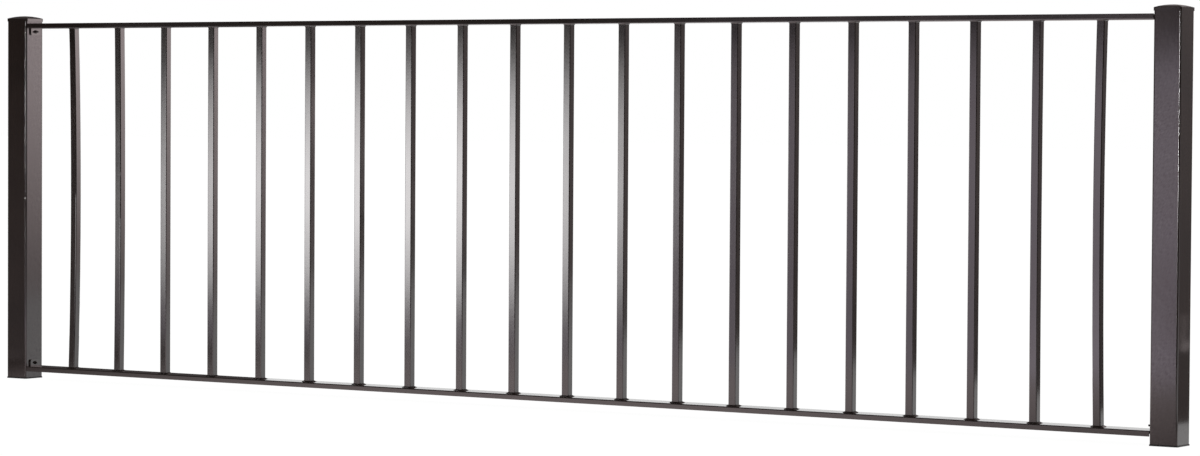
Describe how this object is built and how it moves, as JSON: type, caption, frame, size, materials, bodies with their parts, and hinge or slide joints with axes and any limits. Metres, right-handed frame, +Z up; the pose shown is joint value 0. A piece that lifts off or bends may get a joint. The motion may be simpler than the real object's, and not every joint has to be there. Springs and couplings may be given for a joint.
{
  "type": "steel fence panel",
  "caption": "Low steel fence panel: square balusters between two shallow channel rails, bracketed to two capped square posts, in dark bronze coating.",
  "frame": {"origin": "middle of the left post's foot face, where the post stands on its base", "axes": "+X along the panel from the left post to the right post, -Y is the front, +Z up"},
  "size_m": [2.4604, 0.0504, 0.6977],
  "materials": {
    "bronze_coat": "satin powder coat, dark bronze",
    "foot_plastic": "moulded, matte black"
  },
  "bodies": {
    "root": {"left_post": "bronze_coat", "left_post_shoe": "foot_plastic", "left_post_cap": "bronze_coat", "left_bottom_bracket": "bronze_coat", "left_top_bracket": "bronze_coat", "right_post": "bronze_coat", "right_post_shoe": "foot_plastic", "right_post_cap": "bronze_coat", "right_bottom_bracket": "bronze_coat", "right_top_bracket": "bronze_coat", "bottom_rail": "bronze_coat", "top_rail": "bronze_coat", "baluster_01": "bronze_coat", "baluster_02": "bronze_coat", "baluster_03": "bronze_coat", "baluster_04": "bronze_coat", "baluster_05": "bronze_coat", "baluster_06": "bronze_coat", "baluster_07": "bronze_coat", "baluster_08": "bronze_coat", "baluster_09": "bronze_coat", "baluster_10": "bronze_coat", "baluster_11": "bronze_coat", "baluster_12": "bronze_coat", "baluster_13": "bronze_coat", "baluster_14": "bronze_coat", "baluster_15": "bronze_coat", "baluster_16": "bronze_coat", "baluster_17": "bronze_coat", "baluster_18": "bronze_coat", "baluster_19": "bronze_coat", "baluster_20": "bronze_coat"}
  },
  "joints": []
}
